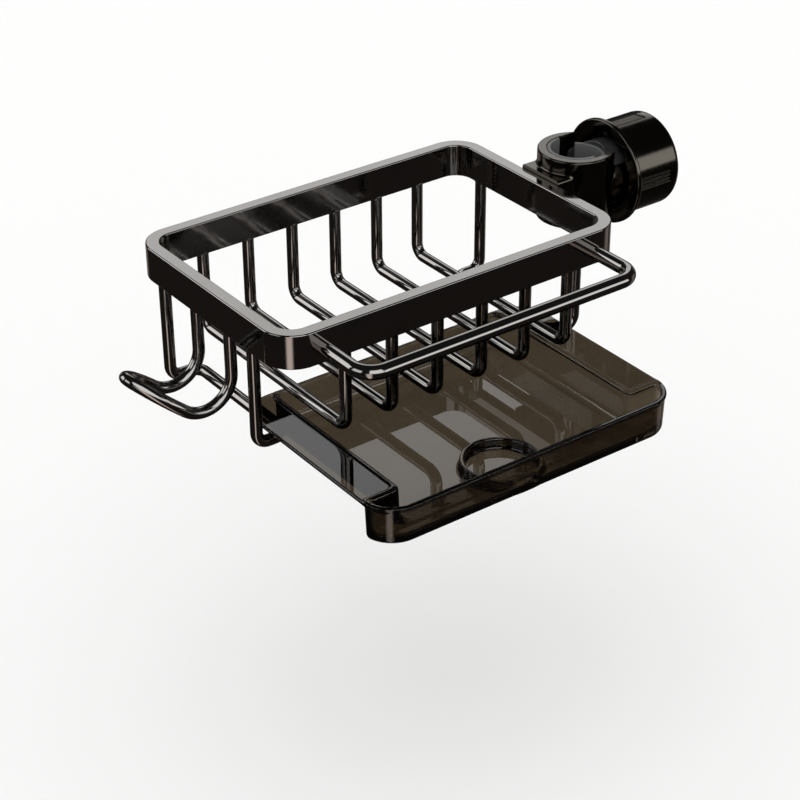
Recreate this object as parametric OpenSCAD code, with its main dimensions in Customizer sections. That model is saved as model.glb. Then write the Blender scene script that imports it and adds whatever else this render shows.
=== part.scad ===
// Wire basket that clamps on a round upright pipe, with a towel rail, an end
// hook and a drip tray that slides out under it.
// Origin: centre of the clamp bore. +Z up along the bore, the knob on +X,
// the basket on -X, its towel rail on -Y.

/* [Basket frame] */
// Length of the rim band
band_l = 161; // [150:0.5:170]
// Width of the rim band, front to back
band_w = 104; // [98:0.5:110]
// Height of the flat bar that the rim is bent from
band_h = 14; // [12:0.5:16]
// Thickness of that flat bar
band_t = 5.5; // [4.5:0.1:6]
// Outer radius of the rim's corners
band_r = 13; // [10:0.5:16]
// Chamfer along the rim's edges
band_c = 0.5; // [0.2:0.1:0.8]
// Distance from the bore axis to the rim's near end
band_gap = 19; // [18:0.1:20]

/* [Cross wires] */
// Wire diameter of the cross wires and tray hangers
wire_d = 4.8; // [4.2:0.1:5]
// Distance between neighbouring cross wires
wire_pitch = 21.2; // [20:0.05:22]
// Shift of the row of cross wires towards the clamp
wire_shift = 1.4; // [0:0.1:2]
// Centreline radius of the wire bends
wire_r = 5; // [4:0.5:5.5]
// Depth of the cross wires' runs below the rim's middle
wire_depth = 39.8; // [38:0.1:40]

/* [Tray hangers] */
// Distance of the posts from the basket's middle, along its length
post_x = 77.5; // [77:0.1:78]
// Half the distance between the two posts of a hanger
post_y = 31.1; // [29:0.1:33]
// Shift of the hangers towards the back
post_shift = 3.7; // [0:0.1:5]
// Depth of the feet's centreline below the rim's middle
foot_depth = 48.45; // [48.45:0.05:49]
// Reach of the feet under the tray's ledges
foot_reach = 13; // [11:0.5:14]

/* [Towel rail] */
// Wire diameter of the rail
rail_d = 5.7; // [5:0.1:6]
// Distance from the basket's middle to the rail's centreline
rail_y = 78.8; // [75:0.1:82]
// Half the distance between the rail's two arms
rail_x = 63.3; // [58:0.5:66]
// Centreline radius of the rail's bends
rail_r = 8; // [6:0.5:10]

/* [End hook] */
// Wire diameter of the hook
hook_d = 4.8; // [4:0.1:5]
// Half the distance between the hook's two legs
hook_y = 11.6; // [11.4:0.1:12.4]
// Depth of the lowest point of the hook's centreline
hook_depth = 37.2; // [34:0.2:42]
// Centreline radius of the hook's lower bends
hook_r = 12.5; // [10:0.5:15]
// Rise of the hook's arms above level
hook_rise = 40; // [30:1:44]
// Angle that each arm turns in towards the tip
hook_in = 42; // [40:1:43]
// Centreline radius of that turn
hook_turn_r = 30; // [28:0.5:31]
// Centreline radius of the hook's tip
hook_tip_r = 4.2; // [3.5:0.1:4.4]

/* [Clamp] */
// Radius of the pipe that the clamp holds
pipe_r = 10.5; // [10:0.1:10.5]
// Thickness of the liner and of the saddle's pad
liner_t = 1.5; // [1.2:0.1:1.5]
// Outer radius of the clamp ring
ring_r = 16; // [15.8:0.1:16.5]
// Height of the clamp ring
ring_h = 30; // [28:0.5:32]
// Radius of the threaded arms around the knob's axis
arm_r = 14.8; // [14.6:0.1:14.9]
// Reach of the threaded arms
arm_reach = 33; // [31:0.5:34]
// Width of the neck against the rim
neck_w = 23; // [20:0.5:25]
// Height of the neck
neck_h = 17.4; // [16:0.2:19]
// Screw radius in the neck
screw_r = 1.5; // [1.2:0.1:1.6]

/* [Knob] */
// Distance from the bore axis to the knob's flange
knob_x = 15; // [15:0.1:15.5]
// Length of the knob with its flange
knob_l = 26; // [25.5:0.1:26.5]
// Radius of the knob's bore
knob_bore = 16.3; // [16:0.1:16.5]
// Outer radius of the grip
knob_r = 20; // [19.5:0.1:20.5]
// Outer radius of the flange
flange_r = 22.5; // [22:0.1:23]
// Thickness of the flange
flange_t = 2.2; // [2:0.1:2.5]
// Pitch of the clamp's thread
thread_pitch = 3; // [2.5:0.5:3]

/* [Drip tray] */
// Outer length of the tray
tray_l = 142; // [140:0.5:143]
// Outer width of the tray, front to back
tray_w = 95.5; // [94:0.1:97]
// How far the tray is pulled out of its centred place
tray_out = 52.65; // [52:0.05:54]
// Outer height of the tray
tray_h = 16.1; // [15:0.1:18]
// Level of the tray's rim below the rim band's middle
tray_top = 44.25; // [43.4:0.05:44.25]
// Wall thickness
tray_t = 1.7; // [1.5:0.1:2]
// Width of the ledges that rest on the hangers
ledge_w = 16.5; // [15:0.5:17]
// Depth of the full-width front of the tray
pocket_w = 11.8; // [11.5:0.1:12.2]
// Radius of the tray's corners
tray_r = 14; // [11:0.5:15]
// Outer radius of the round collar on the tray's floor
collar_r = 15.8; // [12:0.2:16]
// Level of the collar's top above the tray's underside
collar_h = 6.3; // [6.2:0.1:8]

/* [Hidden] */
$fn = 64;
cx = -band_gap - band_l/2;          // middle of the basket
bore_r = pipe_r + liner_t;          // bore of the clamp body
wire_y = band_w/2 - band_t + wire_d/2;  // cross wires, flush with the rim's inside
tray_cx = cx - 1.1;                 // the tray lies a little to one side
tray_cy = -tray_out;
tray_z1 = -tray_top;                // rim
tray_z0 = -tray_top - tray_h;       // underside
ledge_z0 = tray_z1 - 1.7;            // underside of the ledges
basin_l = tray_l - 2*ledge_w;       // clear length between the ledges
gunmetal = [0.16, 0.155, 0.15];
black = [0.05, 0.05, 0.05];
smoke = [0.28, 0.22, 0.15, 0.6];
rubber = [0.2, 0.2, 0.2];
steel = [0.7, 0.7, 0.72];

// ---- helpers -------------------------------------------------------------
// round bend in the XY plane: from +X round to the angle a
module elbow(r, d, a = 90) rotate_extrude(angle = a) translate([r, 0]) circle(d = d);

// rectangle with round corners, centred
module rrect(w, d, r) {
    square([w - 2*r, d], center = true);
    square([w, d - 2*r], center = true);
    for (x = [-1, 1], y = [-1, 1]) translate([x*(w/2 - r), y*(d/2 - r)]) circle(r = r);
}

// flat bar's cross-section, its outer face on x = 0 and its middle on y = 0
module bar_section()
    polygon([[-band_t + band_c, -band_h/2], [-band_c, -band_h/2], [0, -band_h/2 + band_c],
             [0, band_h/2 - band_c], [-band_c, band_h/2], [-band_t + band_c, band_h/2],
             [-band_t, band_h/2 - band_c], [-band_t, -band_h/2 + band_c]]);

// ---- basket frame --------------------------------------------------------
module rim_band() color(gunmetal) difference() {
    translate([cx, 0, 0]) union() {
        for (s = [0, 180]) rotate([0, 0, s]) {
            // long side
            translate([-(band_l/2 - band_r), band_w/2, 0]) rotate([90, 0, 90])
                linear_extrude(band_l - 2*band_r) bar_section();
            // short side
            translate([band_l/2, band_w/2 - band_r, 0]) rotate([90, 0, 0])
                linear_extrude(band_w - 2*band_r) bar_section();
            // two corners
            translate([band_l/2 - band_r, band_w/2 - band_r, 0])
                rotate_extrude(angle = 90) translate([band_r, 0]) bar_section();
            translate([-(band_l/2 - band_r), band_w/2 - band_r, 0]) rotate([0, 0, 90])
                rotate_extrude(angle = 90) translate([band_r, 0]) bar_section();
        }
    }
    // blind holes for the clamp screws
    for (z = [-5, 5]) translate([-band_gap + 1, 0, z]) rotate([0, -90, 0])
        cylinder(r = screw_r + 0.05, h = 1 + 4.2);
}

module cross_wire(n) color(gunmetal)
    translate([cx + wire_shift + (n - 3.5)*wire_pitch, 0, 0]) {
        translate([0, -(wire_y - wire_r), -wire_depth]) rotate([-90, 0, 0])
            cylinder(d = wire_d, h = 2*(wire_y - wire_r));
        for (m = [0, 1]) mirror([0, m, 0]) {
            translate([0, wire_y, -(wire_depth - wire_r)])
                cylinder(d = wire_d, h = wire_depth - wire_r - band_h/2);
            translate([0, wire_y - wire_r, -(wire_depth - wire_r)]) rotate([-90, 0, 90])
                elbow(wire_r, wire_d);
        }
    }

// two posts and the foot that joins them, reaching towards +X
module tray_hanger() color(gunmetal) {
    translate([foot_reach, -(post_y - wire_r), -foot_depth]) rotate([-90, 0, 0])
        cylinder(d = wire_d, h = 2*(post_y - wire_r));
    for (m = [0, 1]) mirror([0, m, 0]) {
        translate([0, post_y, -(foot_depth - wire_r)])
            cylinder(d = wire_d, h = foot_depth - wire_r - band_h/2);
        translate([wire_r, post_y, -(foot_depth - wire_r)]) rotate([-90, 0, 180])
            elbow(wire_r, wire_d);
        translate([wire_r, post_y, -foot_depth]) rotate([0, 90, 0])
            cylinder(d = wire_d, h = foot_reach - 2*wire_r);
        translate([foot_reach - wire_r, post_y - wire_r, -foot_depth])
            elbow(wire_r, wire_d);
    }
}

module left_tray_hanger() translate([cx - post_x, post_shift, 0]) tray_hanger();
module right_tray_hanger()
    translate([cx + post_x, post_shift, 0]) mirror([1, 0, 0]) tray_hanger();

module towel_rail() color(gunmetal) translate([cx, 0, 0]) {
    translate([-(rail_x - rail_r), -rail_y, 0]) rotate([0, 90, 0])
        cylinder(d = rail_d, h = 2*(rail_x - rail_r));
    for (m = [0, 1]) mirror([m, 0, 0]) {
        translate([rail_x, -band_w/2, 0]) rotate([90, 0, 0])
            cylinder(d = rail_d, h = rail_y - rail_r - band_w/2);
        translate([rail_x - rail_r, -(rail_y - rail_r), 0]) rotate([0, 0, -90])
            elbow(rail_r, rail_d);
    }
}

// Each leg goes down, bends out and up, and its arm turns in to the tip.
// The arms and the tip lie in one sloping plane.
hook_out = hook_r*(1 + sin(hook_rise));                   // reach of the lower bend
hook_z = -(hook_depth - hook_r) - hook_r*cos(hook_rise);  // level of its end
// straight stretch between the turn and the tip's bend
hook_str = (hook_y - hook_turn_r*(1 - cos(hook_in)) - hook_tip_r*cos(hook_in))/sin(hook_in);
hook_tip_x = -hook_turn_r*sin(hook_in) - hook_str*cos(hook_in) + hook_tip_r*sin(hook_in);
// weld bead where two stretches meet
module bead() cylinder(d = hook_d + 0.06, h = 0.4, center = true);
module end_hook() color(gunmetal) translate([cx - post_x, 0, 0]) {
    for (m = [0, 1]) mirror([0, m, 0]) {
        translate([0, hook_y, -(hook_depth - hook_r)]) {
            cylinder(d = hook_d, h = hook_depth - hook_r - band_h/2);
            bead();
        }
        translate([-hook_r, hook_y, -(hook_depth - hook_r)]) rotate([-90, 0, 0])
            elbow(hook_r, hook_d, 90 + hook_rise);
        translate([-hook_out, hook_y, hook_z]) rotate([0, hook_rise, 0]) {
            rotate([0, -90, 0]) bead();
            translate([0, -hook_turn_r, 0]) rotate([0, 0, 90]) {
                elbow(hook_turn_r, hook_d, hook_in);
                rotate([0, 0, hook_in]) translate([hook_turn_r, 0, 0]) rotate([-90, 0, 0]) {
                    bead();
                    cylinder(d = hook_d, h = hook_str);
                    translate([0, 0, hook_str]) bead();
                }
            }
        }
    }
    translate([-hook_out, 0, hook_z]) rotate([0, hook_rise, 0]) translate([hook_tip_x, 0, 0])
        rotate([0, 0, 90 + hook_in]) elbow(hook_tip_r, hook_d, 180 - 2*hook_in);
}

// ---- clamp ---------------------------------------------------------------
module clamp_body() color(black) difference() {
    union() {
        rotate_extrude() polygon([[0, -ring_h/2], [ring_r - 0.5, -ring_h/2],
            [ring_r, -ring_h/2 + 0.5], [ring_r, ring_h/2 - 0.5], [ring_r - 0.5, ring_h/2],
            [0, ring_h/2]]);
        // round stub that the arms are cut from, with its thread as rings
        rotate([0, 90, 0]) cylinder(r = arm_r - 0.6, h = arm_reach);
        rotate([0, 90, 0]) cylinder(r = arm_r, h = 17);
        rotate([0, 90, 0]) for (i = [0 : 4]) translate([0, 0, 18.4 + i*thread_pitch])
            rotate_extrude() polygon([[arm_r - 2, -1.1], [arm_r - 0.6, -1.1], [arm_r, -0.4],
                [arm_r, 0.4], [arm_r - 0.6, 1.1], [arm_r - 2, 1.1]]);
        // neck
        translate([-band_gap, 0, 0]) rotate([90, 0, 90])
            linear_extrude(band_gap - 6) rrect(neck_w, neck_h, 1.5);
    }
    cylinder(r = bore_r, h = ring_h + 2, center = true);
    translate([0, -bore_r, -25]) cube([arm_reach + 5, 2*bore_r, 50]);
    for (z = [-5, 5]) translate([0, 0, z]) rotate([0, -90, 0]) {
        cylinder(r = screw_r + 0.2, h = 30);
        cylinder(r = 2*screw_r + 0.2, h = 14.6);
    }
}

module clamp_liner() color(rubber) rotate([0, 0, 90])
    translate([0, 0, -ring_h/2]) rotate_extrude(angle = 180)
        translate([pipe_r, 0]) square([liner_t, ring_h]);

// pan-head screws under the liner
module clamp_screws() color(steel) for (z = [-5, 5]) translate([0, 0, z]) rotate([0, -90, 0])
    difference() {
        union() {
            translate([0, 0, 12.5]) cylinder(r = 2*screw_r - 0.1, h = 2.1);
            translate([0, 0, 14.5]) cylinder(r = screw_r, h = band_gap + 4 - 14.5);
        }
        translate([0, 0, 12]) cylinder(r = screw_r*0.75, h = 1.7, $fn = 6);
    }

saddle_x0 = 5;
crown_x = knob_x + knob_l - 4;      // inner face of the knob's end
washer_t = 1.5;
module pressure_saddle() color(black) difference() {
    intersection() {
        translate([saddle_x0, 0, 0]) rotate([0, 90, 0])
            cylinder(r = arm_r - 0.9, h = crown_x - 0.1 - washer_t - saddle_x0);
        translate([0, -bore_r + 0.25, -20]) cube([50, 2*bore_r - 0.5, 40]);
    }
    cylinder(r = bore_r, h = 60, center = true);
}

module saddle_pad() color(rubber) rotate([0, 0, -52])
    translate([0, 0, -12]) rotate_extrude(angle = 104)
        translate([pipe_r, 0]) square([liner_t, 24]);

module slip_washer() color([0.85, 0.85, 0.82]) translate([crown_x - 0.1 - washer_t, 0, 0])
    rotate([0, 90, 0]) difference() {
        cylinder(r = 11, h = washer_t);
        translate([0, 0, -1]) cylinder(r = 3, h = washer_t + 2);
    }

// ---- knob ----------------------------------------------------------------
module knob_section() difference() {
    union() {
        square([flange_r - 0.6, flange_t]);
        translate([0, 0.6]) square([flange_r, flange_t - 1.2]);
        for (y = [0.6, flange_t - 0.6]) translate([flange_r - 0.6, y]) circle(r = 0.6);
        square([knob_r, knob_l - 2.5]);
        square([knob_r - 2.5, knob_l]);
        translate([knob_r - 2.5, knob_l - 2.5]) circle(r = 2.5);
    }
    translate([-1, -1]) square([knob_bore + 1, knob_l - 4 + 1]);
    translate([-30, -5]) square([30, knob_l + 10]);
}

module clamp_knob() color(black) translate([knob_x, 0, 0]) rotate([0, 90, 0]) {
    difference() {
        rotate_extrude() knob_section();
        for (a = [0 : 90 : 270]) rotate([0, 0, a - 8]) translate([0, 0, flange_t])
            rotate_extrude(angle = 16) translate([knob_r - 0.6, 0]) square([2, 17.6]);
    }
    for (a = [0 : 90 : 270], b = [-4.4, 0, 4.4]) rotate([0, 0, a + b - 0.9])
        translate([0, 0, flange_t - 0.2]) rotate_extrude(angle = 1.8)
            translate([knob_r - 1.2, 0]) square([1, 17.2]);
}

// ---- tray ----------------------------------------------------------------
lip = 0.6;                          // the rim stands proud of the walls
// plan of the walls, shrunk by d: the basin and the full-width front
module tray_plan(d) {
    rrect(basin_l + 2*tray_t - 2*d, tray_w - 2*lip - 2*d, 6 - d);
    intersection() {
        rrect(tray_l - 2*lip - 2*d, tray_w - 2*lip - 2*d, tray_r - lip - d);
        translate([-tray_l/2, -tray_w/2]) square([tray_l, pocket_w + tray_t - d]);
    }
}
module drip_tray() color(smoke) translate([tray_cx, tray_cy, 0]) {
    difference() {
        union() {
            // rim and ledges
            translate([0, 0, ledge_z0]) linear_extrude(tray_z1 - ledge_z0)
                rrect(tray_l, tray_w, tray_r);
            // walls and floor
            translate([0, 0, tray_z0]) linear_extrude(ledge_z0 - tray_z0 + 0.2) tray_plan(0);
        }
        translate([0, 0, tray_z0 + 1.8]) linear_extrude(tray_h) tray_plan(tray_t);
    }
    // round collar on the floor, against the front wall
    translate([-3.9, -tray_w/2 + tray_t + collar_r, tray_z0]) rotate_extrude()
        polygon([[collar_r - 3.4, 1], [collar_r, 1], [collar_r, collar_h - 0.5],
            [collar_r - 0.5, collar_h], [collar_r - 1.5, collar_h],
            [collar_r - 2, collar_h - 0.5], [collar_r - 2.4, 2.8], [collar_r - 3.4, 1.8]]);
}

rim_band();
cross_wire(1);  // cross_wire_1
cross_wire(2);  // cross_wire_2
cross_wire(3);  // cross_wire_3
cross_wire(4);  // cross_wire_4
cross_wire(5);  // cross_wire_5
cross_wire(6);  // cross_wire_6
left_tray_hanger();
right_tray_hanger();
towel_rail();
end_hook();
clamp_body();
clamp_liner();
clamp_screws();
pressure_saddle();
saddle_pad();
slip_washer();
clamp_knob();
drip_tray();
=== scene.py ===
# Faucet drainer basket: dark mirror-bright wire basket on a pipe clamp, with a clear smoky tray.
import bpy
import math
import numpy as np
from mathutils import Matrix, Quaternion, Vector

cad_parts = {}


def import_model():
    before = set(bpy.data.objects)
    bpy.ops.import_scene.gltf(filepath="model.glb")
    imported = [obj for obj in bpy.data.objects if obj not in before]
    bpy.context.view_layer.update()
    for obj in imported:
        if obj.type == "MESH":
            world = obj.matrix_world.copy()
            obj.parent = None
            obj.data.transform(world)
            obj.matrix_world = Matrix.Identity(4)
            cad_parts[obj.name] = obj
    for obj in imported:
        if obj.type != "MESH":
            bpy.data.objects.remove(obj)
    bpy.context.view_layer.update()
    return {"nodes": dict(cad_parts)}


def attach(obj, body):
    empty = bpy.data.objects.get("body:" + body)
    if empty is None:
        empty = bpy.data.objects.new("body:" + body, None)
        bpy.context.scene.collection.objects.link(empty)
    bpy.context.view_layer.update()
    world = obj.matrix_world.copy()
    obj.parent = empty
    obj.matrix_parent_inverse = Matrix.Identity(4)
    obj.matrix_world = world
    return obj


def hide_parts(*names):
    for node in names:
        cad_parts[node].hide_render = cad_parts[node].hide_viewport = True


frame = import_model()
scene = bpy.context.scene
PI = math.pi

# ---------------------------------------------------------------- dimensions (mm)
CX = -99.5                      # middle of the basket
BL, BW, BH, BT, BR = 161.0, 104.0, 14.0, 5.5, 13.0
WY, WR, WZ = 48.9, 5.0, -39.8   # cross wires: side, bend, depth
PX, PY, PYC, PZ, REACH = 77.5, 31.1, 3.7, -48.45, 13.0
TCX, TCY = CX - 1.1, -52.65     # tray's middle
TL, TW, TZ1, TZ0 = 142.0, 95.5, -44.25, -60.35


# ---------------------------------------------------------------- mesh helpers
def make(name, verts, faces, smooth=True, sharp=None, normals=None):
    me = bpy.data.meshes.new(name)
    me.from_pydata((np.asarray(verts, float) * 0.001).tolist(), [], [list(f) for f in faces])
    me.validate()
    ob = bpy.data.objects.new(name, me)
    scene.collection.objects.link(ob)
    me.polygons.foreach_set("use_smooth", [smooth] * len(me.polygons))
    if sharp is not None:
        me.set_sharp_from_angle(angle=math.radians(sharp))
    if normals is not None:
        me.normals_split_custom_set_from_vertices(np.asarray(normals, float).tolist())
    me.update()
    return ob


def arc3(c, u, v, r, a0, a1, n):
    a = np.radians(np.linspace(a0, a1, n))[:, None]
    return np.asarray(c, float) + r * (np.cos(a) * np.asarray(u, float) + np.sin(a) * np.asarray(v, float))


def clean(pts):
    out = [pts[0]]
    for p in pts[1:]:
        if np.linalg.norm(p - out[-1]) > 1e-4:
            out.append(p)
    return np.array(out)


def tube(name, pts, radius, K=40, weld=(True, True), flare=0.35):
    """A bent wire as one closed mesh; a weld end flares a little where it meets the flat bar."""
    P = clean(np.asarray(pts, float))
    if weld[0] or weld[1]:
        # finer rings near the ends for the weld's fillet
        def ends(Q):
            d = Q[1] - Q[0]
            d /= np.linalg.norm(d)
            return np.vstack([[Q[0] + d * s for s in (0, 0.5, 0.62, 0.76, 0.92, 1.1, 1.35)], Q[1:]])
        if weld[0]:
            P = ends(P)
        if weld[1]:
            P = ends(P[::-1])[::-1]
    T = np.gradient(P, axis=0)
    seg = np.diff(P, axis=0)
    seg /= np.linalg.norm(seg, axis=1)[:, None]
    T[0], T[-1] = seg[0], seg[-1]
    T[1:-1] = seg[:-1] + seg[1:]
    T /= np.linalg.norm(T, axis=1)[:, None]
    ref = np.array([0.0, 0.0, 1.0]) if abs(T[0][2]) < 0.9 else np.array([1.0, 0.0, 0.0])
    n = np.cross(T[0], ref)
    n /= np.linalg.norm(n)
    s = np.concatenate([[0], np.cumsum(np.linalg.norm(np.diff(P, axis=0), axis=1))])
    verts, nor = [], []
    ang = np.arange(K) * 2 * PI / K
    for i in range(len(P)):
        if i:
            n = n - T[i] * n.dot(T[i])
            n /= np.linalg.norm(n)
        b = np.cross(T[i], n)
        r = radius
        for k, on in ((s[i], weld[0]), (s[-1] - s[i], weld[1])):
            if on and k < 1.35:
                q = max(0.0, 1 - max(k - 0.5, 0) / 0.85)
                r = max(r, radius + flare * (1 - math.sqrt(max(0.0, 1 - q * q))))
        # each ring stands square to the averaged tangent; bends get no mitre stretch
        ring = P[i] + r * (np.cos(ang)[:, None] * n + np.sin(ang)[:, None] * b)
        verts.append(ring)
    verts = np.vstack(verts)
    F = []
    for i in range(len(P) - 1):
        for k in range(K):
            a, c = i * K + k, i * K + (k + 1) % K
            F.append((a, c, c + K, a + K))
    F.append(tuple(range(K - 1, -1, -1)))
    m = (len(P) - 1) * K
    F.append(tuple(range(m, m + K)))
    return make(name, verts, F, sharp=50)


def lathe(name, prof, axis="z", n=128, angle=None, sharp=40, origin=(0, 0, 0)):
    """Closed profile [(r, h), ...] turned round an axis; angle=(a0, a1) in degrees gives a sector."""
    prof = np.asarray(prof, float)
    M = len(prof)
    if angle is None:
        th = np.arange(n) * 2 * PI / n
    else:
        th = np.radians(np.linspace(angle[0], angle[1], n))
    r, h = prof[:, 0], prof[:, 1]
    V = []
    for t in th:
        c, s_ = math.cos(t), math.sin(t)
        if axis == "z":
            V.append(np.stack([r * c, r * s_, h], 1))
        else:  # x axis; angle 0 is +Y, 90 is +Z
            V.append(np.stack([h, r * c, r * s_], 1))
    V = np.vstack(V) + np.asarray(origin, float)
    F = []
    last = n if angle is None else n - 1
    for i in range(last):
        j = (i + 1) % n
        for k in range(M):
            l = (k + 1) % M
            F.append((i * M + k, j * M + k, j * M + l, i * M + l))
    if angle is not None:
        F.append(tuple(range(M - 1, -1, -1)))
        F.append(tuple(range((n - 1) * M, n * M)))
    ob = make(name, V, F, sharp=sharp)
    fix_normals(ob)
    return ob


def fix_normals(ob):
    import bmesh
    bm = bmesh.new()
    bm.from_mesh(ob.data)
    bmesh.ops.remove_doubles(bm, verts=bm.verts, dist=1e-8)
    bmesh.ops.dissolve_degenerate(bm, dist=1e-8, edges=bm.edges)
    bmesh.ops.recalc_face_normals(bm, faces=bm.faces)
    bm.to_mesh(ob.data)
    bm.free()


def rounded(points, radii, n=5):
    """Polygon with rounded corners, as a list of points."""
    P = np.asarray(points, float)
    out = []
    m = len(P)
    for i in range(m):
        r = radii[i] if hasattr(radii, "__len__") else radii
        a, p, c = P[i - 1], P[i], P[(i + 1) % m]
        if r <= 0:
            out.append(p)
            continue
        u = (a - p) / np.linalg.norm(a - p)
        v = (c - p) / np.linalg.norm(c - p)
        half = math.acos(max(-1, min(1, u.dot(v)))) / 2
        d = r / math.tan(half)
        w = (u + v) / np.linalg.norm(u + v)
        ctr = p + w * r / math.sin(half)
        s0, s1 = p + u * d - ctr, p + v * d - ctr
        a0 = math.atan2(s0[1], s0[0])
        a1 = math.atan2(s1[1], s1[0])
        while a1 - a0 > PI:
            a1 -= 2 * PI
        while a1 - a0 < -PI:
            a1 += 2 * PI
        for t in np.linspace(a0, a1, n):
            out.append(ctr + r * np.array([math.cos(t), math.sin(t)]))
    return np.array(out)


# ---------------------------------------------------------------- smooth solids from distance fields
def smin(a, b, k):
    h = np.maximum(k - np.abs(a - b), 0) / k
    return np.minimum(a, b) - h * h * k * 0.25


def smax(a, b, k):
    return -smin(-a, -b, k)


def rbox2(x, y, hx, hy, r):
    qx, qy = np.abs(x) - hx + r, np.abs(y) - hy + r
    return np.hypot(np.maximum(qx, 0), np.maximum(qy, 0)) + np.minimum(np.maximum(qx, qy), 0) - r


def steps(lo, hi, fine, coarse, dense=None):
    """Grid lines from lo to hi: fine inside the dense ranges, coarse between them."""
    if dense is None:
        return np.linspace(lo, hi, int(math.ceil((hi - lo) / fine)) + 1)
    out, at = [lo], lo
    while at < hi:
        d = min([max(a - at, at - b, 0) for a, b in dense])
        at += min(coarse, fine + 0.6 * d)
        out.append(at)
    return np.array(out)


def field_mesh(name, f, gx, gy, gz):
    """Surface of f < 0 as quads (surface nets), each vertex moved onto the true surface, with its true normal."""
    ax = [gx, gy, gz]
    n = [len(g) for g in ax]
    X, Y, Z = np.meshgrid(*ax, indexing="ij", sparse=True)
    V = np.broadcast_to(f(X, Y, Z), n).astype(np.float32)
    S = V < 0
    tot = np.zeros((n[0] - 1, n[1] - 1, n[2] - 1), np.int8)
    for dx in (0, 1):
        for dy in (0, 1):
            for dz in (0, 1):
                tot += S[dx:n[0] - 1 + dx, dy:n[1] - 1 + dy, dz:n[2] - 1 + dz]
    mixed = (tot > 0) & (tot < 8)
    idx = np.argwhere(mixed)
    ids = -np.ones(mixed.shape, np.int64)
    ids[mixed] = np.arange(len(idx))
    acc = np.zeros((len(idx), 3))
    cnt = np.zeros(len(idx))
    corners = [(0, 0, 0), (1, 0, 0), (0, 1, 0), (1, 1, 0), (0, 0, 1), (1, 0, 1), (0, 1, 1), (1, 1, 1)]
    for a in range(8):
        for b in range(a + 1, 8):
            ca, cb = np.array(corners[a]), np.array(corners[b])
            if np.abs(ca - cb).sum() != 1:
                continue
            ia, ib = idx + ca, idx + cb
            va, vb = V[tuple(ia.T)], V[tuple(ib.T)]
            hit = (va < 0) != (vb < 0)
            t = np.where(hit, va / np.where(hit, va - vb, 1), 0)
            acc += hit[:, None] * (ca + t[:, None] * (cb - ca))
            cnt += hit
    frac = acc / cnt[:, None]
    P = np.stack([ax[k][idx[:, k]] + frac[:, k] * (ax[k][idx[:, k] + 1] - ax[k][idx[:, k]]) for k in range(3)], 1)
    size = np.min(np.stack([ax[k][idx[:, k] + 1] - ax[k][idx[:, k]] for k in range(3)], 1), axis=1)

    def g(P):
        e = 0.02
        return np.stack([(f(P[:, 0] + e, P[:, 1], P[:, 2]) - f(P[:, 0] - e, P[:, 1], P[:, 2])),
                         (f(P[:, 0], P[:, 1] + e, P[:, 2]) - f(P[:, 0], P[:, 1] - e, P[:, 2])),
                         (f(P[:, 0], P[:, 1], P[:, 2] + e) - f(P[:, 0], P[:, 1], P[:, 2] - e))], 1) / (2 * e)
    for _ in range(4):
        d = f(P[:, 0], P[:, 1], P[:, 2])
        G = g(P)
        q = (G * G).sum(1)
        mv = -(d / np.maximum(q, 0.25))[:, None] * G
        ln = np.linalg.norm(mv, axis=1)
        mv *= np.minimum(1, 0.45 * size / np.maximum(ln, 1e-9))[:, None]
        P = P + mv
    quads = []
    for axis in range(3):
        s0 = [slice(None)] * 3
        s1 = [slice(None)] * 3
        s0[axis], s1[axis] = slice(0, -1), slice(1, None)
        A, B = S[tuple(s0)], S[tuple(s1)]
        e = np.argwhere(A != B)
        o = [k for k in range(3) if k != axis]
        ok = (e[:, o[0]] > 0) & (e[:, o[1]] > 0) & (e[:, o[0]] < n[o[0]] - 1) & (e[:, o[1]] < n[o[1]] - 1)
        e = e[ok]
        q = []
        for d0, d1 in ((-1, -1), (0, -1), (0, 0), (-1, 0)):
            k = e.copy()
            k[:, o[0]] += d0
            k[:, o[1]] += d1
            q.append(ids[tuple(k.T)])
        q = np.stack(q, 1)
        ins = A[tuple(e.T)]
        rev = ins if axis != 1 else ~ins
        q[~rev] = q[~rev][:, ::-1]
        quads.append(q)
    Q = np.vstack(quads)
    N = g(P)
    N /= np.maximum(np.linalg.norm(N, axis=1), 1e-9)[:, None]
    me = bpy.data.meshes.new(name)
    me.vertices.add(len(P))
    me.vertices.foreach_set("co", (P * 0.001).ravel())
    me.loops.add(Q.size)
    me.loops.foreach_set("vertex_index", Q.ravel())
    me.polygons.add(len(Q))
    me.polygons.foreach_set("loop_start", np.arange(0, Q.size, 4))
    me.polygons.foreach_set("use_smooth", [True] * len(Q))
    me.update(calc_edges=True)
    me.normals_split_custom_set_from_vertices(N.tolist())
    ob = bpy.data.objects.new(name, me)
    scene.collection.objects.link(ob)
    return ob


def bake(ob):
    dg = bpy.context.evaluated_depsgraph_get()
    me = bpy.data.meshes.new_from_object(ob.evaluated_get(dg))
    ob.modifiers.clear()
    ob.data = me


def put(ob, body, mat, *nodes, slot=None):
    ob.data.materials.clear()
    ob.data.materials.append(mat)
    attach(ob, body)
    if nodes:
        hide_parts(*nodes)
    return ob


# ---------------------------------------------------------------- materials
def new_mat(name):
    m = bpy.data.materials.new(name)
    m.use_nodes = True
    nt = m.node_tree
    bsdf = nt.nodes["Principled BSDF"]
    return m, nt, bsdf


def noise(nt, scale, detail=3, rough=0.55, stretch=None):
    tc = nt.nodes.new("ShaderNodeTexCoord")
    mp = nt.nodes.new("ShaderNodeMapping")
    nz = nt.nodes.new("ShaderNodeTexNoise")
    nz.inputs["Scale"].default_value = scale
    nz.inputs["Detail"].default_value = detail
    nz.inputs["Roughness"].default_value = rough
    if stretch:
        mp.inputs["Scale"].default_value = stretch
    nt.links.new(tc.outputs["Object"], mp.inputs["Vector"])
    nt.links.new(mp.outputs["Vector"], nz.inputs["Vector"])
    return nz


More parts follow.
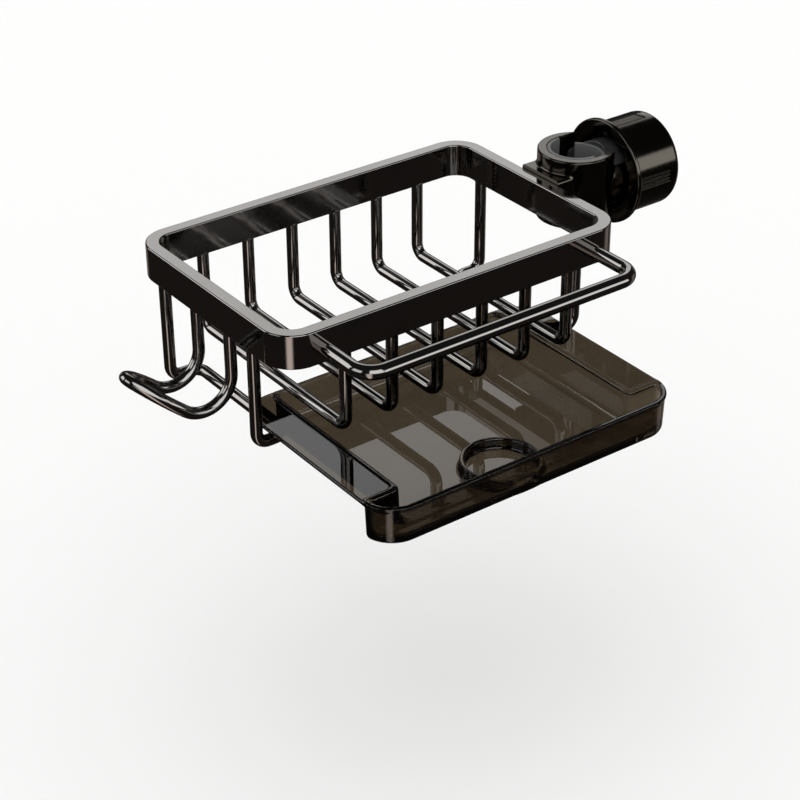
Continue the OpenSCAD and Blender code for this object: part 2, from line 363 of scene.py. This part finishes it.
def ramp(nt, src, a, b, lo=0.35, hi=0.65):
    r = nt.nodes.new("ShaderNodeMapRange")
    r.inputs["From Min"].default_value = lo
    r.inputs["From Max"].default_value = hi
    r.inputs["To Min"].default_value = a
    r.inputs["To Max"].default_value = b
    nt.links.new(src, r.inputs["Value"])
    return r.outputs["Result"]


def mixcol(nt, fac, a, b):
    m = nt.nodes.new("ShaderNodeMix")
    m.data_type = "RGBA"
    m.inputs[6].default_value = (*a, 1)
    m.inputs[7].default_value = (*b, 1)
    nt.links.new(fac, m.inputs[0])
    return m.outputs[2]


def metal(name, a, b, r0, r1, bump=0.02, grain=900):
    m, nt, p = new_mat(name)
    p.inputs["Metallic"].default_value = 1.0
    big = noise(nt, 28, 2)
    fine = noise(nt, grain, 4, 0.7)
    nt.links.new(mixcol(nt, ramp(nt, big.outputs["Fac"], 0, 1), a, b), p.inputs["Base Color"])
    nt.links.new(ramp(nt, fine.outputs["Fac"], r0, r1), p.inputs["Roughness"])
    bp = nt.nodes.new("ShaderNodeBump")
    bp.inputs["Strength"].default_value = bump
    bp.inputs["Distance"].default_value = 0.0001
    nt.links.new(fine.outputs["Fac"], bp.inputs["Height"])
    nt.links.new(bp.outputs["Normal"], p.inputs["Normal"])
    return m


def plastic(name, a, b, r0, r1, bump=0.05, grain=600, coat=0.0):
    m, nt, p = new_mat(name)
    big = noise(nt, 40, 2)
    fine = noise(nt, grain, 4, 0.6)
    nt.links.new(mixcol(nt, ramp(nt, big.outputs["Fac"], 0, 1), a, b), p.inputs["Base Color"])
    nt.links.new(ramp(nt, fine.outputs["Fac"], r0, r1), p.inputs["Roughness"])
    p.inputs["Coat Weight"].default_value = coat
    p.inputs["Coat Roughness"].default_value = 0.05
    bp = nt.nodes.new("ShaderNodeBump")
    bp.inputs["Strength"].default_value = bump
    bp.inputs["Distance"].default_value = 0.0001
    nt.links.new(fine.outputs["Fac"], bp.inputs["Height"])
    nt.links.new(bp.outputs["Normal"], p.inputs["Normal"])
    return m


CHROME = metal("black_chrome", (0.235, 0.225, 0.215), (0.215, 0.205, 0.195), 0.045, 0.10, 0.03)
CLAMP = metal("clamp_black", (0.070, 0.063, 0.053), (0.060, 0.054, 0.045), 0.09, 0.16, 0.03)
SADDLE = plastic("saddle_black", (0.03, 0.03, 0.03), (0.022, 0.022, 0.022), 0.32, 0.42)
LINER = plastic("liner_grey", (0.11, 0.11, 0.11), (0.09, 0.09, 0.09), 0.4, 0.55)
WASHER = plastic("washer_white", (0.8, 0.8, 0.77), (0.75, 0.75, 0.72), 0.3, 0.4)
STEEL = metal("screw_steel", (0.6, 0.6, 0.61), (0.52, 0.52, 0.53), 0.18, 0.3, 0.05)


def smoke():
    m, nt, p = new_mat("tray_smoke")
    p.inputs["Transmission Weight"].default_value = 1.0
    p.inputs["IOR"].default_value = 1.49
    big = noise(nt, 30, 2)
    fine = noise(nt, 500, 3, 0.6)
    # painted light: the front's thin upright walls get a paler tint than the floor and the ledges, a painted lift for
    # the light lost where the view crosses two walls
    flat = mixcol(nt, ramp(nt, big.outputs["Fac"], 0, 1), (0.050, 0.038, 0.024), (0.042, 0.032, 0.020))
    tc = nt.nodes.new("ShaderNodeTexCoord")
    sep = nt.nodes.new("ShaderNodeSeparateXYZ")
    nt.links.new(tc.outputs["Object"], sep.inputs[0])
    # mask of the front's upright walls, where the painted lift goes
    up = ramp(nt, sep.outputs["Z"], 0.0, 1.0, TZ0 * 0.001 + 0.0014, TZ0 * 0.001 + 0.0030)
    dn = ramp(nt, sep.outputs["Z"], 1.0, 0.0, TZ1 * 0.001 - 0.0030, TZ1 * 0.001 - 0.0016)
    both = nt.nodes.new("ShaderNodeMath")
    both.operation = "MULTIPLY"
    nt.links.new(up, both.inputs[0])
    nt.links.new(dn, both.inputs[1])
    fr = nt.nodes.new("ShaderNodeMath")
    fr.operation = "MULTIPLY"
    nt.links.new(both.outputs[0], fr.inputs[0])
    nt.links.new(ramp(nt, sep.outputs["Y"], 1.0, 0.0, -0.0925, -0.0875), fr.inputs[1])
    mx = nt.nodes.new("ShaderNodeMix")
    mx.data_type = "RGBA"
    nt.links.new(fr.outputs[0], mx.inputs[0])
    nt.links.new(flat, mx.inputs[6])
    # painted light: the paler tint that lifts the front walls
    mx.inputs[7].default_value = (0.21, 0.175, 0.13, 1)
    nt.links.new(mx.outputs[2], p.inputs["Base Color"])
    nt.links.new(ramp(nt, fine.outputs["Fac"], 0.0, 0.03), p.inputs["Roughness"])
    bp = nt.nodes.new("ShaderNodeBump")
    bp.inputs["Strength"].default_value = 0.02
    bp.inputs["Distance"].default_value = 0.0002
    nt.links.new(big.outputs["Fac"], bp.inputs["Height"])
    nt.links.new(bp.outputs["Normal"], p.inputs["Normal"])
    return m


SMOKE = smoke()

# ---------------------------------------------------------------- rim band
prof = rounded([(0, -BH / 2), (BT, -BH / 2), (BT, BH / 2), (0, BH / 2)], 0.55, 6)  # (depth inward, height)
path = []
for cx_, cy_, a0 in ((BL / 2 - BR, BW / 2 - BR, 0), (-(BL / 2 - BR), BW / 2 - BR, 90),
                     (-(BL / 2 - BR), -(BW / 2 - BR), 180), (BL / 2 - BR, -(BW / 2 - BR), 270)):
    for a in np.radians(np.linspace(a0, a0 + 90, 33)):
        path.append((cx_, cy_, math.cos(a), math.sin(a)))
V, F = [], []
M = len(prof)
for (x, y, c, s) in path:
    for d, h in prof:
        V.append((CX + x + c * (BR - d), y + s * (BR - d), h))
L = len(path)
for i in range(L):
    j = (i + 1) % L
    for k in range(M):
        l = (k + 1) % M
        F.append((i * M + k, i * M + l, j * M + l, j * M + k))
band = make("rim_band_look", V, F, sharp=60)
fix_normals(band)
nor = []
for (x, y, c, s) in path:
    for d, h in prof:
        nd = (d - min(max(d, 0.55), BT - 0.55)) / 0.55
        nh = (h - min(max(h, 0.55 - BH / 2), BH / 2 - 0.55)) / 0.55
        nor.append((-c * nd, -s * nd, nh))
if len(nor) == len(band.data.vertices):
    band.data.normals_split_custom_set_from_vertices(nor)
put(band, "basket", CHROME, "rim_band", slot="black_chrome")

# ---------------------------------------------------------------- wires
X3, Y3, Z3 = np.eye(3)
for n in range(6):
    x = CX + 1.4 + (n - 2.5) * 21.2
    pts = np.vstack([[(x, WY, -6.4)],
                     arc3((x, WY - WR, WZ + WR), Y3, -Z3, WR, 0, 90, 14),
                     arc3((x, -WY + WR, WZ + WR), -Z3, -Y3, WR, 0, 90, 14),
                     [(x, -WY, -6.4)]])
    put(tube("cross_wire_%d_look" % (n + 1), pts, 2.4), "basket", CHROME, "cross_wire_%d" % (n + 1), slot="black_chrome")


def hanger(side):
    s = 1 if side == "left" else -1      # the foot reaches towards the basket's middle
    x0 = CX - s * PX
    half = [[(x0, PY, -6.4)],
            arc3((x0 + s * WR, PY, PZ + WR), -s * X3, -Z3, WR, 0, 90, 14),
            arc3((x0 + s * (REACH - WR), PY - WR, PZ), Y3, s * X3, WR, 0, 90, 14)]
    half = np.vstack(half)
    other = half[::-1] * np.array([1, -1, 1])
    return tube(side + "_tray_hanger_look", np.vstack([half, other]) + np.array([0, PYC, 0]), 2.4)


for side in ("left", "right"):
    put(hanger(side), "basket", CHROME, side + "_tray_hanger", slot="black_chrome")

RX, RY, RR = 63.3, 78.8, 8.0
half = np.vstack([[(CX - RX, -51.4, 0)],
                  arc3((CX - RX + RR, -RY + RR, 0), -X3, -Y3, RR, 0, 90, 18)])
other = half[::-1] * np.array([-1, 1, 1]) + np.array([2 * CX, 0, 0])
put(tube("towel_rail_look", np.vstack([half, other]), 2.85, K=48, flare=0.0), "basket", CHROME, "towel_rail", slot="black_chrome")


def hook_path():
    hy, dep, r, rise, phi, R2, tr = 11.6, 37.2, 12.5, math.radians(40), math.radians(42), 30.0, 4.2
    x0 = CX - PX
    zc = -(dep - r)
    pts = [np.array([x0, hy, -6.4])]
    pts += list(arc3((x0 - r, hy, zc), X3, -Z3, r, 0, 90 + 40, 26))
    E = pts[-1]
    U = np.array([-math.cos(rise), 0, math.sin(rise)])
    pts += list(E - R2 * Y3 + R2 * (np.sin(a) * U + np.cos(a) * Y3) for a in np.linspace(0, phi, 22)[1:])
    e2 = pts[-1]
    u = math.cos(phi) * U - math.sin(phi) * Y3
    Ls = (e2[1] - tr * math.cos(phi)) / math.sin(phi)
    end = e2 + u * Ls
    c = end - tr * math.sin(phi) * U - tr * math.cos(phi) * Y3
    tip = [c + tr * (math.sin(a) * U + math.cos(a) * Y3) for a in np.linspace(phi, PI / 2, 10)]
    pts += tip
    P = np.array(pts)
    return np.vstack([P, P[::-1][1:] * np.array([1, -1, 1])])


put(tube("end_hook_look", hook_path(), 2.4), "basket", CHROME, "end_hook", slot="black_chrome")


# ---------------------------------------------------------------- clamp
def f_clamp(x, y, z):
    r = np.hypot(x, y)
    ring = rbox2(r, z, 16.0, 15.0, 0.7)
    neck = np.maximum(rbox2(y, z, 11.5, 8.7, 1.4), np.maximum(-19.0 - x, x + 6.0))
    body = smin(ring, neck, 1.0)
    rx = np.hypot(y, z)
    th = np.arctan2(z, y)
    ph = (x / 3.0 - th / (2 * PI)) % 1.0
    tooth = 0.6 * np.clip(1.6 - 4.2 * np.abs(ph - 0.5), 0, 1) * np.clip((x - 17.0) / 1.0, 0, 1) * np.clip((32.0 - x) / 1.0, 0, 1)
    stub = np.maximum(rx - np.where(x < 17.0, 14.8 + 0.0 * x, 14.2) - tooth, np.maximum(-x, x - 33.0))
    body = smin(body, stub, 0.6)
    body = smax(body, 12.0 - r, 0.5)
    chan = np.maximum(np.abs(y) - 12.0, -x)
    return smax(body, -chan, 0.4)


clamp = field_mesh("clamp_body_look", f_clamp, steps(-20.2, 33.9, 0.42, 0.42), steps(-16.7, 16.7, 0.42, 0.42), steps(-15.9, 15.9, 0.42, 0.42))
put(clamp, "basket", CLAMP, "clamp_body", slot="clamp_black")

liner = lathe("clamp_liner_look", rounded([(10.5, -15), (12, -15), (12, 15), (10.5, 15)], 0.3, 4), "z", 65, (90, 270), 50)
put(liner, "basket", LINER, "clamp_liner", slot="liner_grey")


def f_saddle(x, y, z):
    rx = np.hypot(y, z)
    b = smax(rx - 13.9, np.abs(y) - 11.75, 0.8)
    b = smax(b, np.maximum(5.0 - x, x - 35.4), 0.6)
    return smax(b, 12.0 - np.hypot(x, y), 0.5)


saddle = field_mesh("pressure_saddle_look", f_saddle, steps(4, 36.2, 0.5, 0.5), steps(-12.6, 12.6, 0.5, 0.5), steps(-15.4, 15.4, 0.5, 0.5))
put(saddle, "saddle", SADDLE, "pressure_saddle", slot="saddle_black")
pad = lathe("saddle_pad_look", rounded([(10.5, -12), (12, -12), (12, 12), (10.5, 12)], 0.3, 4), "z", 41, (-52, 52), 50)
put(pad, "saddle", LINER, "saddle_pad", slot="liner_grey")
washer = lathe("slip_washer_look", rounded([(3, 35.4), (11, 35.4), (11, 36.9), (3, 36.9)], 0.3, 4), "x", 96)
put(washer, "saddle", WASHER, "slip_washer", slot="washer_white")


# ---------------------------------------------------------------- knob
def knob():
    # profile from the bore's bottom, out over the flange, along the grip, to the end's centre: (r, x)
    raw = [(0.0, 37.0), (16.3, 37.0), (16.3, 15.0), (22.5, 15.0), (22.5, 17.2), (20.0, 17.2), (20.0, 41.0), (0.0, 41.0)]
    rad = [0, 0.8, 0.5, 0.8, 0.8, 0.5, 2.6, 0]
    P = rounded(raw, rad, 8)[1:]          # starts on the bore's bottom
    P = [np.array([0.0, 37.0])] + [p for p in P]
    # finer steps along the grip
    out = [P[0]]
    for a, b in zip(P[:-1], P[1:]):
        ln = np.linalg.norm(b - a)
        k = 1
        if abs(a[0] - 20) < 1e-6 and abs(b[0] - 20) < 1e-6:
            k = int(ln / 0.35)
        elif ln > 4:
            k = int(ln / 4) + 1
        for i in range(1, k + 1):
            out.append(a + (b - a) * i / k)
    P = np.array(out)
    cols = []
    for q in range(4):
        c0 = q * 90.0
        cols += list(c0 + np.linspace(-9.2, 9.2, 75)[:-1])
        cols += list(c0 + np.linspace(9.2, 80.8, 30)[:-1])
    th = np.radians(np.array(cols))
    R, Hx = P[:, 0], P[:, 1]
    on = (np.abs(R - 20) < 1e-6)
    a = (np.array(cols) + 45) % 90 - 45           # angle from the nearest recess's middle
    sm = lambda t: np.clip(t, 0, 1) ** 2 * (3 - 2 * np.clip(t, 0, 1))
    side = sm((8.2 - np.abs(a)) / 0.9)            # 1 inside the recess
    ribs = np.zeros_like(a)
    for b in (-4.6, 0.0, 4.6):
        ribs = np.maximum(ribs, sm((1.45 - np.abs(a - b)) / 0.9))
    V = []
    for i in range(len(th)):
        r = R.copy()
        u = Hx[on]
        far = sm((36.0 - u) / 2.2)                # runs out towards the end
        near = sm((u - 17.4) / 0.5)
        dep = side[i] * far * near
        rib = ribs[i] * sm((35.2 - u) / 1.0) * near
        r[on] = R[on] - 0.6 * dep + 0.55 * dep * rib
        V.append(np.stack([Hx, r * math.cos(th[i]), r * math.sin(th[i])], 1))
    V = np.vstack(V)
    M, N = len(P), len(th)
    F = []
    for i in range(N):
        j = (i + 1) % N
        for k in range(M - 1):
            F.append((i * M + k, i * M + k + 1, j * M + k + 1, j * M + k))
    ob = make("clamp_knob_look", V, F)
    fix_normals(ob)
    ob.data.polygons.foreach_set("use_smooth", [True] * len(ob.data.polygons))
    ob.data.set_sharp_from_angle(angle=math.radians(60))
    return ob


put(knob(), "knob", CLAMP, "clamp_knob", slot="clamp_black")


# ---------------------------------------------------------------- tray
def f_tray(x, y, z):
    x = x - TCX
    y = y - TCY
    hx, hy = TL / 2, TW / 2
    t, fl, bh = 1.7, 1.8, 56.55
    drop = np.clip((TZ1 - z) / (TZ1 - TZ0), 0, 1.2)
    ins = 0.35 + 0.45 * drop                      # the walls lean in a little towards the floor
    basin = rbox2(x, y - 4.0, bh, hy - 4.0, 6.0)
    front = smax(rbox2(x, y, hx, hy, 14.0), y + hy - 13.8, 2.4)
    plan = smin(basin, front, 3.0)
    walls = smax(plan + ins, TZ0 - z, 2.4)
    walls = np.maximum(walls, z - (TZ1 - 0.6))
    rim = smax(rbox2(x, y, hx, hy, 14.0), np.abs(z - (TZ1 - 0.85)) - 0.85, 0.8)
    solid = smin(walls, rim, 0.8)
    bi = rbox2(x, y - 4.0 + t / 2, bh - t, hy - 4.0 - t / 2, 4.5)
    fi = smax(rbox2(x, y, hx - t, hy - t, 12.3), y + hy - 12.1, 2.4)
    inner = smin(bi, fi, 3.0) + ins
    # a low rounded ridge along the ledges' inner edges
    ridge = np.hypot(inner - 1.5, (z - (TZ1 - 0.6)) * 1.05) - 1.0
    ridge = smax(ridge, 10.6 - (y + hy), 0.6)
    ridge = smax(ridge, 53.0 - np.abs(x), 0.6)
    ridge = smax(ridge, rbox2(x, y, hx, hy, 14.0) + 0.3, 0.6)
    solid = smin(solid, ridge, 0.5)
    hollow = smax(inner, TZ0 + fl - z, 3.6)
    solid = smax(solid, -hollow, 0.7)
    # round collar
    cr = np.hypot(x + 3.9, y + hy - 17.5)
    wall = smax(np.abs(cr - 14.75) - 0.95, z - (TZ0 + 6.3), 0.9)
    wall = np.maximum(wall, TZ0 + 1.2 - z)
    return smin(solid, wall, 1.6)


tray = field_mesh("drip_tray_look", f_tray,
                  steps(TCX - 72.4, TCX + 72.4, 0.42, 2.2, [(TCX - 73, TCX - 52), (TCX - 21, TCX + 13), (TCX + 52, TCX + 73)]),
                  steps(TCY - 49.1, TCY + 49.1, 0.42, 2.2, [(TCY - 50, TCY - 12), (TCY + 41, TCY + 50)]),
                  steps(TZ0 - 0.9, TZ1 + 1.2, 0.42, 1.2, [(TZ0 - 1, TZ0 + 5), (TZ1 - 4, TZ1 + 1.3)]))
put(tray, "tray", SMOKE, "drip_tray", slot="tray_smoke")

# screws stay as packed, with their own finish
for name, mat in (("clamp_screws", STEEL),):
    ob = frame["nodes"][name]
    ob.data.materials.clear()
    ob.data.materials.append(mat)

# ---------------------------------------------------------------- floor, light, camera
fl = make("floor", [(-3000, -3000, -181), (3000, -3000, -181), (3000, 3000, -181), (-3000, 3000, -181)], [(0, 1, 2, 3)], smooth=False)
m, nt, p = new_mat("floor_pale")
p.inputs["Base Color"].default_value = (0.86, 0.86, 0.855, 1)
p.inputs["Roughness"].default_value = 0.9
p.inputs["Specular IOR Level"].default_value = 0.1
fl.data.materials.append(m)
fl.visible_glossy = False
fl.visible_transmission = False


def world():
    w = bpy.data.worlds.new("studio")
    scene.world = w
    w.use_nodes = True
    w.cycles.sampling_method = "NONE"
    nt = w.node_tree
    for n in list(nt.nodes):
        nt.nodes.remove(n)
    N, K = nt.nodes.new, nt.links.new
    out = N("ShaderNodeOutputWorld")
    tc = N("ShaderNodeTexCoord")
    sep = N("ShaderNodeSeparateXYZ")
    K(tc.outputs["Generated"], sep.inputs[0])

    def math_(op, a, b=None, c=None, clamp=False):
        n = N("ShaderNodeMath")
        n.operation = op
        n.use_clamp = clamp
        for i, v in enumerate((a, b, c)):
            if v is None:
                continue
            if isinstance(v, (int, float)):
                n.inputs[i].default_value = v
            else:
                K(v, n.inputs[i])
        return n.outputs[0]

    def smooth(v, a, b):
        n = N("ShaderNodeMapRange")
        n.interpolation_type = "SMOOTHSTEP"
        n.inputs["From Min"].default_value = a
        n.inputs["From Max"].default_value = b
        K(v, n.inputs["Value"])
        return n.outputs["Result"]
    az = math_("DEGREES" if False else "MULTIPLY", math_("ARCTAN2", sep.outputs["Y"], sep.outputs["X"]), 180 / PI)
    z = sep.outputs["Z"]

    def stripe(centre, half, soft):
        # 1 within half degrees of centre, wrapped
        d = math_("ABSOLUTE", math_("SUBTRACT", math_("MODULO", math_("ADD", math_("SUBTRACT", az, centre), 540.0 + 360.0), 360.0), 180.0))
        return math_("SUBTRACT", 1.0, smooth(d, half, half + soft))

    def box(centre, half, soft, z0, z1, zs, level):
        s = math_("MULTIPLY", smooth(z, z0 - zs, z0 + zs), math_("SUBTRACT", 1.0, smooth(z, z1 - zs, z1 + zs)))
        return math_("MULTIPLY", math_("MULTIPLY", stripe(centre, half, soft), s), level)

    # dark room with softboxes and upright cards
    total = math_("ADD", box(50.0, 14.0, 4.0, 0.25, 0.62, 0.04, 1.5), 0.03)
    total = math_("ADD", total, box(130.0, 14.0, 4.0, -0.02, 0.58, 0.04, 2.5))
    total = math_("ADD", total, box(-57.5, 16.0, 4.0, 0.03, 0.43, 0.04, 2.5))
    total = math_("ADD", total, box(-105.0, 24.0, 6.0, 0.10, 0.80, 0.05, 2.5))
    total = math_("ADD", total, box(178.0, 16.0, 6.0, 0.12, 0.60, 0.05, 1.9))
    total = math_("ADD", total, box(-134.0, 4.0, 11.0, -1.3, 0.06, 0.06, 1.65))
    # weak cards that give the flats a sheen from the other sides
    for a_, l_ in ((-8.0, 0.35), (28.0, 0.25), (84.0, 0.30)):
        total = math_("ADD", total, box(a_, 5.0, 12.0, -0.62, 0.16, 0.12, l_))
    bgG = N("ShaderNodeBackground")
    # warm from below, a little cool from above
    tint = N("ShaderNodeMix")
    tint.data_type = "RGBA"
    tint.inputs[6].default_value = (1.0, 0.86, 0.78, 1)
    tint.inputs[7].default_value = (0.985, 0.99, 1.0, 1)
    K(smooth(z, -0.1, 0.1), tint.inputs[0])
    K(tint.outputs[2], bgG.inputs["Color"])
    K(total, bgG.inputs["Strength"])
    bgD = N("ShaderNodeBackground")
    bgD.inputs["Color"].default_value = (1, 1, 1, 1)
    bgD.inputs["Strength"].default_value = 1.16
    lp = N("ShaderNodeLightPath")
    mx = N("ShaderNodeMixShader")
    K(math_("GREATER_THAN", lp.outputs["Glossy Depth"], 0.5), mx.inputs[0])
    K(bgD.outputs[0], mx.inputs[1])
    K(bgG.outputs[0], mx.inputs[2])
    K(mx.outputs[0], out.inputs["Surface"])


world()

cam = bpy.data.cameras.new("camera")
cam.lens = 93.34
cam.sensor_width = 36.0
cam.clip_start, cam.clip_end = 0.05, 20
co = bpy.data.objects.new("camera", cam)
scene.collection.objects.link(co)
az, el, ROLL = math.radians(-36.25), math.radians(31.13), -0.29
fwd = Vector((-math.sin(az) * math.cos(el), math.cos(az) * math.cos(el), -math.sin(el)))
co.location = (-0.5218, -0.5883, 0.3669)
co.rotation_mode = "QUATERNION"
co.rotation_quaternion = fwd.to_track_quat("-Z", "Y") @ Quaternion((0.0, 0.0, 1.0), math.radians(ROLL))
scene.camera = co
scene.view_settings.view_transform = "Standard"
scene.view_settings.look = "None"
